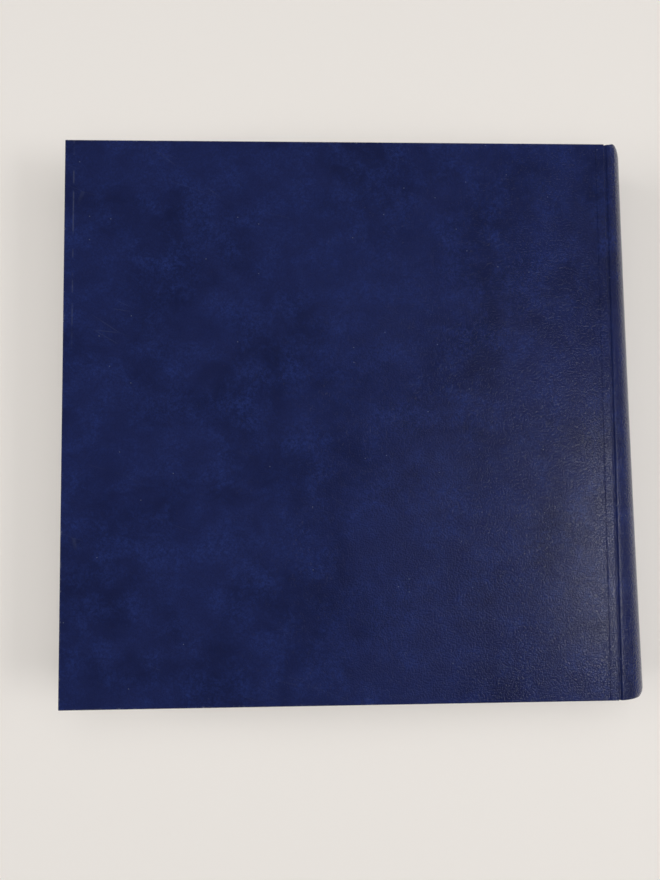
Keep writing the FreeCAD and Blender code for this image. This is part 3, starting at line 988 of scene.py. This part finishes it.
@dataclass
class CoverSkin:
    """Leatherette of one cover: its panel, its turn-ins, the groove and its half of the spine."""

    side: Side
    sizes: AlbumSizes
    form: SpineForm
    wall: float = 0.5 * MM
    spine_wall: float = 2.1 * MM
    paper_step: float = 0.1 * MM
    edge_round: float = 0.7 * MM
    groove_round: float = 0.32 * MM
    cap_rise: float = 1.1 * MM
    cap_reach: float = 4.0 * MM
    cap_past_shoulder: float = 4.6 * MM
    cap_half_width: float = 1.6 * MM
    inner_rounding: float = 0.6

    def panel(self) -> Workpiece:
        """The panel as a shallow tray with turn-ins on three sides, open towards the spine."""
        s = self.sizes
        depth = s.cover_t - self.paper_step
        middle = ((s.fore_x + s.groove_x) / 2, 0, s.thickness - depth / 2)
        clear_selection()
        bpy.ops.mesh.primitive_cube_add(size=1, location=middle)
        bpy.context.object.scale = (s.groove_x - s.fore_x, 2 * s.half_height, depth)
        work = Workpiece(f"{self.side.value}_cover_skin")
        inner = s.half_height - s.turn_in
        with work.editing():
            work.select(Part.FACE, lambda at, way: way.x > FACING)
            bpy.ops.mesh.delete(type="FACE")
            fold_x = s.fore_x + s.turn_in
            cuts = (((fold_x, 0, 0), (1, 0, 0)), ((0, inner, 0), (0, 1, 0)), ((0, -inner, 0), (0, 1, 0)))
            for origin, across in cuts:
                work.select(Part.FACE, lambda at, way: way.z < -FACING)
                bpy.ops.mesh.bisect(plane_co=origin, plane_no=across)
            work.select(Part.FACE, lambda at, way: way.z < -FACING and at.x > fold_x and abs(at.y) < inner)
            bpy.ops.mesh.delete(type="FACE")
        return work

    def inner_route(self) -> List[Point]:
        """Route of the turned-over covering under the groove, to the inside of the shoulder."""
        s, form = self.sizes, self.form
        depth = s.thickness - (s.cover_t - self.paper_step)
        end = form.inside_shoulder(self.spine_wall)
        return easing_route((s.groove_x, depth), end, 3 + form.shoulder_steps)

    def outer_route(self) -> List[Point]:
        """Route of the covering from the board's edge down into the groove and up to the shoulder."""
        s, form = self.sizes, self.form
        places = [(0.0, 0.0), form.groove_wall, form.groove_floor]
        return [(s.groove_x + x, s.thickness - z) for x, z in places] + [form.shoulder_start()]

    def reach_spine(self, work: Workpiece) -> None:
        """Extend the panel through the groove and round to the crest, outside and at the turn-ins."""
        s = self.sizes
        low = self.inner_route()[0][1]

        def outer_rim(at: Vector, way: Vector) -> bool:
            """Whether an edge runs the whole length of the groove's outer corner."""
            return near(at.z, s.thickness) and near(at.x, s.groove_x) and abs(way.y) > s.half_height

        def inner_rim(at: Vector, way: Vector) -> bool:
            """Whether an edge runs along the groove's inner corner."""
            return near(at.z, low) and near(at.x, s.groove_x) and abs(way.y) > abs(way.x)

        work.select_rims(outer_rim)
        self.form.walk(self.outer_route())
        self.form.sweep(0)
        work.select_rims(inner_rim)
        self.form.walk(self.inner_route())
        self.form.sweep(1)

    def close_ends(self, work: Workpiece) -> None:
        """Bridge the outside and the turned-over inside at the head and the tail."""
        s = self.sizes

        def end_rim(at: Vector, way: Vector, end: float) -> bool:
            """Whether an edge follows the outline of the spine at one end."""
            return near(at.y, end) and at.x > s.groove_x and near(way.y, 0.0) and not near(at.z, s.mid_z)

        for end in (-s.half_height, s.half_height):
            work.select_rims(lambda at, way: end_rim(at, way, end))
            bpy.ops.mesh.bridge_edge_loops()

    def round_edges(self, work: Workpiece) -> None:
        """Soften the board's edges, the groove and the ends of the spine."""
        s = self.sizes
        low = self.inner_route()[0][1]
        corners = self.outer_route()[:3]

        def outline(at: Vector, level: float) -> bool:
            """Whether a place is on the board's three outer edges, at a level."""
            on_edge = near(at.x, s.fore_x) or near(abs(at.y), s.half_height)
            return on_edge and near(at.z, level) and at.x < s.groove_x

        def in_groove(at: Vector, way: Vector) -> bool:
            """Whether an edge runs along a corner of the groove."""
            return near(way.x, 0.0) and any(near(at.x, x) and near(at.z, z) for x, z in corners)

        work.select(Part.EDGE, lambda at, way: outline(at, s.thickness))
        bpy.ops.mesh.bevel(offset=self.edge_round, segments=4, affect="EDGES")
        work.select(Part.EDGE, lambda at, way: outline(at, low))
        bpy.ops.mesh.bevel(offset=self.edge_round * self.inner_rounding, segments=3, affect="EDGES")
        work.select(Part.EDGE, in_groove)
        bpy.ops.mesh.bevel(offset=self.groove_round, segments=3, affect="EDGES")

    def raise_cap(self, work: Workpiece) -> None:
        """Lift the bunched covering at the head of the spine."""
        s = self.sizes
        cap_x = self.form.shoulder_point[0] + self.cap_past_shoulder

        def in_cap(at: Vector, way: Vector) -> bool:
            """Whether a place is at the head of the spine, above the middle."""
            at_head = at.y > s.half_height - 0.2 * MM
            return at_head and near(at.x, cap_x, self.cap_half_width) and at.z > s.mid_z

        work.select(Part.VERT, in_cap)
        bpy.ops.transform.translate(
            value=(0, self.cap_rise, 0),
            use_proportional_edit=True,
            proportional_edit_falloff="SMOOTH",
            proportional_size=self.cap_reach,
        )

    def build(self) -> bpy.types.Object:
        """Make the skin.

        Returns:
            The finished piece.
        """
        s = self.sizes
        work = self.panel()
        with work.editing():
            self.reach_spine(work)
            self.close_ends(work)
            bpy.ops.mesh.select_all(action="SELECT")
            bpy.ops.mesh.remove_doubles(threshold=0.005 * MM)
            cut_across(self.form.stations(s.half_height))
            self.form.swell(work)
            self.round_edges(work)
            self.raise_cap(work)
            outward = 1
            if self.side is Side.FRONT:
                flip_to_front(s.mid_z)
                outward = -1
            surface = s.mid_z - 0.1 * MM

            def faces_out(at: Vector, way: Vector) -> bool:
                """Whether a face is on the panel's outer side and points away from it."""
                on_panel = at.x < s.groove_x and abs(at.z - s.mid_z) > surface
                return on_panel and way.z * outward > FACING

            turn_outward(work, faces_out)
        work.modify("SOLIDIFY", thickness=self.wall, offset=-1.0, use_even_offset=True)
        work.smooth()
        return work.obj

    def dress(self, skin: bpy.types.Object, finish: Finish) -> None:
        """Give the skin its finish, hide the nodes that it replaces and settle its place into its mesh.

        Args:
            skin: The built piece.
            finish: The leatherette.
        """
        coat(skin, finish)
        name = self.side.value
        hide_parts(f"{name}_leatherette", f"{name}_joint_leatherette", "spine_leatherette")
        bend_between(skin)


def bend_between(piece: bpy.types.Object) -> None:
    """Settle a piece's place into its mesh."""
    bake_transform(piece)


@dataclass
class SpineLiner:
    """Cloth of one half of the spine and its groove, on the inside."""

    side: Side
    sizes: AlbumSizes
    form: SpineForm
    inset: float = 2.2 * MM
    end_inset: float = 3.0 * MM
    wall: float = 0.25 * MM
    overlap: float = 1.0 * MM
    paste: float = 0.02 * MM
    route_steps: int = 8

    def build(self) -> bpy.types.Object:
        """Make the cloth.

        Returns:
            The finished piece.
        """
        s, form = self.sizes, self.form
        half = s.half_height - self.end_inset
        level = s.thickness - s.cover_t + self.paste
        start_x = s.groove_x - self.overlap
        end = form.inside_shoulder(self.inset)
        clear_selection()
        bpy.ops.mesh.primitive_plane_add(size=1, location=(start_x - self.overlap / 2, 0, level))
        bpy.context.object.scale = (self.overlap, 2 * half, 1)
        work = Workpiece(f"{self.side.value}_spine_liner")
        with work.editing():
            work.select(Part.VERT, lambda at, _: at.x < start_x - self.overlap / 2)
            bpy.ops.mesh.delete(type="VERT")
            work.select(Part.EDGE, lambda at, _: True)
            form.walk(easing_route((start_x, level), end, self.route_steps))
            form.sweep(1)
            cut_across(form.stations(half))
            form.swell(work)
            if self.side is Side.FRONT:
                flip_to_front(s.mid_z)
            turn_outward(work, lambda at, way: way.x < -0.5 and at.x > form.shoulder_point[0] + 3 * MM)
        work.modify("SOLIDIFY", thickness=self.wall, offset=1.0)
        work.smooth()
        return work.obj

    def dress(self, liner: bpy.types.Object, finish: Finish) -> None:
        """Give the cloth its finish, hide the nodes that it replaces and settle its place into its mesh."""
        coat(liner, finish)
        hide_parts(f"{self.side.value}_joint_cloth", "spine_lining")
        bend_between(liner)


@dataclass
class SpineCore:
    """Curved board inside the spine's covering."""

    sizes: AlbumSizes
    form: SpineForm
    inset: float = 0.55 * MM
    wall: float = 1.4 * MM
    end_inset: float = 0.75 * MM

    def build(self) -> bpy.types.Object:
        """Make the board from one half and its mirror image.

        Returns:
            The finished piece.
        """
        s, form = self.sizes, self.form
        half = s.half_height - self.end_inset
        x, z = form.inside_shoulder(self.inset)
        clear_selection()
        bpy.ops.mesh.primitive_plane_add(size=1, location=(x - MM / 2, 0, z))
        bpy.context.object.scale = (MM, 2 * half, 1)
        work = Workpiece("spine_core")
        with work.editing():
            work.select(Part.VERT, lambda at, _: at.x < x - MM / 2)
            bpy.ops.mesh.delete(type="VERT")
            work.select(Part.EDGE, lambda at, _: True)
            form.sweep(1)
            cut_across(form.stations(half))
            form.swell(work)
            bpy.ops.mesh.select_all(action="SELECT")
            bpy.ops.mesh.duplicate()
            bpy.ops.transform.resize(value=(1, 1, -1), center_override=(0, 0, s.mid_z))
            turn_outward(work, lambda at, way: way.x > 0.5)
        work.modify("SOLIDIFY", thickness=self.wall, offset=-1.0)
        work.smooth()
        return work.obj

    def dress(self, core: bpy.types.Object, finish: Finish) -> None:
        """Give the board its finish and let it ride on the spine."""
        coat(core, finish)
        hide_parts("spine_board")
        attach(core, "spine")


def finish_nodes(names: Sequence[str], finish: Finish) -> None:
    """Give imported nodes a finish, with their shapes as they are."""
    for name in names:
        coat(frame["nodes"][name], finish)


@dataclass
class Case:
    """The cover of the album: two skins, the boards in them, the papers and the spine."""

    sizes: AlbumSizes
    form: SpineForm

    def build(self) -> None:
        """Make and dress every piece of the case."""
        s = self.sizes
        leatherette = Leatherette("leatherette", fore_x=s.fore_x, half_height=s.half_height)
        cloth = Cloth("joint_cloth")
        board = Stock(
            "greyboard",
            ground=(0.36, 0.34, 0.31, 1),
            shadow=(0.3, 0.28, 0.25, 1),
            fleck=(0.16, 0.14, 0.12, 1),
        )
        paper = Stock(
            "endpaper",
            ground=(0.78, 0.75, 0.68, 1),
            shadow=(0.755, 0.723, 0.65, 1),
            fleck=(0.6, 0.55, 0.45, 1),
        )
        for side in Side:
            skin = CoverSkin(side, s, self.form)
            piece = skin.build()
            skin.dress(piece, leatherette)
            LOG.info("%s: %d faces", piece.name, len(piece.data.polygons))
            liner = SpineLiner(side, s, self.form)
            piece = liner.build()
            liner.dress(piece, cloth)
            LOG.info("%s: %d faces", piece.name, len(piece.data.polygons))
        core = SpineCore(s, self.form)
        piece = core.build()
        core.dress(piece, board)
        LOG.info("%s: %d faces", piece.name, len(piece.data.polygons))
        finish_nodes(["front_board", "back_board"], board)
        finish_nodes(["front_endpaper", "back_endpaper"], paper)


# ---------------------------------------------------------------- rings and pages


@dataclass
class RingMechanism:
    """Ring mechanism: sheet metal with broken edges, blades, rings, levers and fasteners."""

    edge_break: float = 0.22 * MM
    weld: float = 0.002 * MM
    flat_within: float = math.radians(1.0)
    sharp_beyond: float = math.radians(28)
    softened: Tuple[str, ...] = ("ring_cover_plate", "head_lever", "tail_lever")
    kept: Tuple[str, ...] = (
        "upper_blade",
        "lower_blade",
        "upper_ring_halves",
        "lower_ring_halves",
        "lever_pins",
        "spine_rivets",
        "rivet_spacers",
    )

    def soften(self, node: str) -> bpy.types.Object:
        """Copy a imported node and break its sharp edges.

        Args:
            node: Name of the node.

        Returns:
            The new piece.
        """
        copy = frame["nodes"][node].copy()
        copy.data = copy.data.copy()
        copy.parent = None
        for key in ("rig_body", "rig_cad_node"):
            del copy[key]
        bpy.context.scene.collection.objects.link(copy)
        clear_selection()
        bpy.context.view_layer.objects.active = copy
        copy.select_set(True)
        work = Workpiece(f"{node}_pressed")
        with work.editing():
            bpy.ops.mesh.select_all(action="SELECT")
            bpy.ops.mesh.remove_doubles(threshold=self.weld)
            bpy.ops.mesh.dissolve_limited(angle_limit=self.flat_within)
        work.modify(
            "BEVEL",
            width=self.edge_break,
            segments=2,
            limit_method="ANGLE",
            angle_limit=self.sharp_beyond,
            use_clamp_overlap=True,
            harden_normals=False,
        )
        work.modify("TRIANGULATE", min_vertices=5)
        work.smooth(40.0)
        return work.obj

    def build(self) -> None:
        """Make and dress the mechanism."""
        nickel = Nickel("nickel_steel")
        body_of = {n: b for b, members in frame["record"]["behaviour"]["bodies"].items() for n in members}
        for node in self.softened:
            piece = self.soften(node)
            coat(piece, nickel)
            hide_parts(node)
            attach(piece, body_of[node])
            LOG.info("%s: %d faces", piece.name, len(piece.data.polygons))
        finish_nodes(self.kept, nickel)


@dataclass
class PageBlock:
    """The board pages, with their cards, films and slides."""

    well_first: float = 20.0 * MM
    well_pitch: float = 34.0 * MM
    row_pitch: float = 58.0 * MM

    def build(self) -> None:
        """Dress every page."""
        board = Stock(
            "page_board",
            ground=(0.7, 0.67, 0.6, 1),
            shadow=(0.64, 0.6, 0.53, 1),
            fleck=(0.45, 0.42, 0.36, 1),
        )
        film = ClearFilm("clear_film")
        pages = sorted({name.split("_")[1] for name in frame["nodes"] if name.startswith("page_")})
        for page in pages:
            fore_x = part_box(f"page_{page}_core")[0].x
            card = PrintedCard(
                f"page_card_{page}",
                ground=(0.022, 0.04, 0.14, 1),
                shadow=(0.017, 0.032, 0.115, 1),
                fleck=(0.05, 0.075, 0.2, 1),
                rough=(0.42, 0.56),
                first_x=fore_x + self.well_first,
                pitch_x=self.well_pitch,
                pitch_y=self.row_pitch,
            )
            finish_nodes([f"page_{page}_face_card", f"page_{page}_slide_card"], card)
            finish_nodes([f"page_{page}_core"], board)
            stem = f"page_{page}_slide_"
            slides = [name for name in frame["nodes"] if name.startswith(stem) and name[-1].isdigit()]
            finish_nodes([f"page_{page}_film"] + slides, film)
            LOG.info("page %s: two cards, a core, a film and %d slides", page, len(slides))


# ---------------------------------------------------------------- studio


@dataclass(frozen=True)
class Lamp:
    """A soft rectangular lamp that faces the album."""

    name: str
    place: Tuple[float, float, float]
    size: Point
    power: float
    colour: Tuple[float, float, float]
    glossy: bool = True

    def hang(self) -> None:
        """Add the lamp to the scene."""
        light = bpy.data.lights.new(self.name, "AREA")
        light.shape = "RECTANGLE"
        light.size, light.size_y = self.size
        light.energy = self.power
        light.color = self.colour
        lamp = bpy.data.objects.new(self.name, light)
        lamp.location = self.place
        lamp.rotation_euler = (-Vector(self.place)).to_track_quat("-Z", "Y").to_euler()
        lamp.visible_glossy = self.glossy
        bpy.context.scene.collection.objects.link(lamp)


WARM = (1.0, 0.985, 0.965)
LAMPS = (
    Lamp("window", (1.06, -0.2, 1.12), (0.55, 0.3), 4.0, (1.0, 0.99, 0.98)),
    Lamp("ceiling", (0.1, 0.1, 1.8), (2.4, 2.4), 23.0, WARM, glossy=False),
    Lamp("left_wall", (-1.7, 0.0, 0.95), (1.4, 1.2), 16.5, WARM, glossy=False),
    Lamp("right_wall", (1.8, -0.1, 0.95), (1.4, 1.2), 9.0, WARM, glossy=False),
)


@dataclass
class Studio:
    """A pale floor, soft light and the camera."""

    sizes: AlbumSizes
    floor_colour: Colour = (0.84, 0.81, 0.78, 1)
    floor_rough: float = 0.55
    floor_size: float = 8.0
    floor_drop: float = 0.05 * MM
    sky_colour: Colour = (1.0, 0.98, 0.95, 1)
    sky_strength: float = 0.13
    lens: float = 28.636
    sensor: float = 36.0
    near_clip: float = 0.01
    camera_from_corner: Tuple[float, float, float] = (109.04 * MM, -154.0 * MM, 314.01 * MM)
    camera_turn: Tuple[float, float, float] = (3.0241, -1.8796, -0.4194)

    def floor(self) -> None:
        """Lay a wide floor under the album."""
        clear_selection()
        bpy.ops.mesh.primitive_plane_add(size=self.floor_size, location=(0, 0, -self.floor_drop))
        plane = bpy.context.object
        plane.name = "studio_floor"
        made = bpy.data.materials.new("studio_floor")
        made.use_nodes = True
        surface = made.node_tree.nodes["Principled BSDF"]
        surface.inputs["Base Color"].default_value = self.floor_colour
        surface.inputs["Roughness"].default_value = self.floor_rough
        plane.data.materials.append(made)

    def lights(self) -> None:
        """Light the room softly, with a brighter lamp towards the lower right."""
        world = bpy.data.worlds.new("studio")
        world.use_nodes = True
        background = world.node_tree.nodes["Background"]
        background.inputs[0].default_value = self.sky_colour
        background.inputs[1].default_value = self.sky_strength
        bpy.context.scene.world = world
        for lamp in LAMPS:
            lamp.hang()

    def camera(self) -> None:
        """Set the camera above the album."""
        s = self.sizes
        data = bpy.data.cameras.new("camera")
        data.sensor_width = self.sensor
        data.lens = self.lens
        data.clip_start = self.near_clip
        camera = bpy.data.objects.new("camera", data)
        camera.location = Vector((s.fore_x, s.half_height, s.thickness)) + Vector(self.camera_from_corner)
        camera.rotation_euler = [math.radians(turn) for turn in self.camera_turn]
        bpy.context.scene.collection.objects.link(camera)
        bpy.context.scene.camera = camera

    def build(self) -> None:
        """Set up the studio."""
        bpy.context.scene.view_settings.view_transform = "Standard"
        self.floor()
        self.lights()
        self.camera()
        LOG.info("studio: floor, lamps and camera")


def main() -> None:
    """Build the album and the studio."""
    logging.basicConfig(level=logging.INFO, format="%(name)s %(message)s")
    sizes = AlbumSizes.from_frame()
    Case(sizes, SpineForm(sizes)).build()
    RingMechanism().build()
    PageBlock().build()
    Studio(sizes).build()


if __name__ == "__main__":
    main()
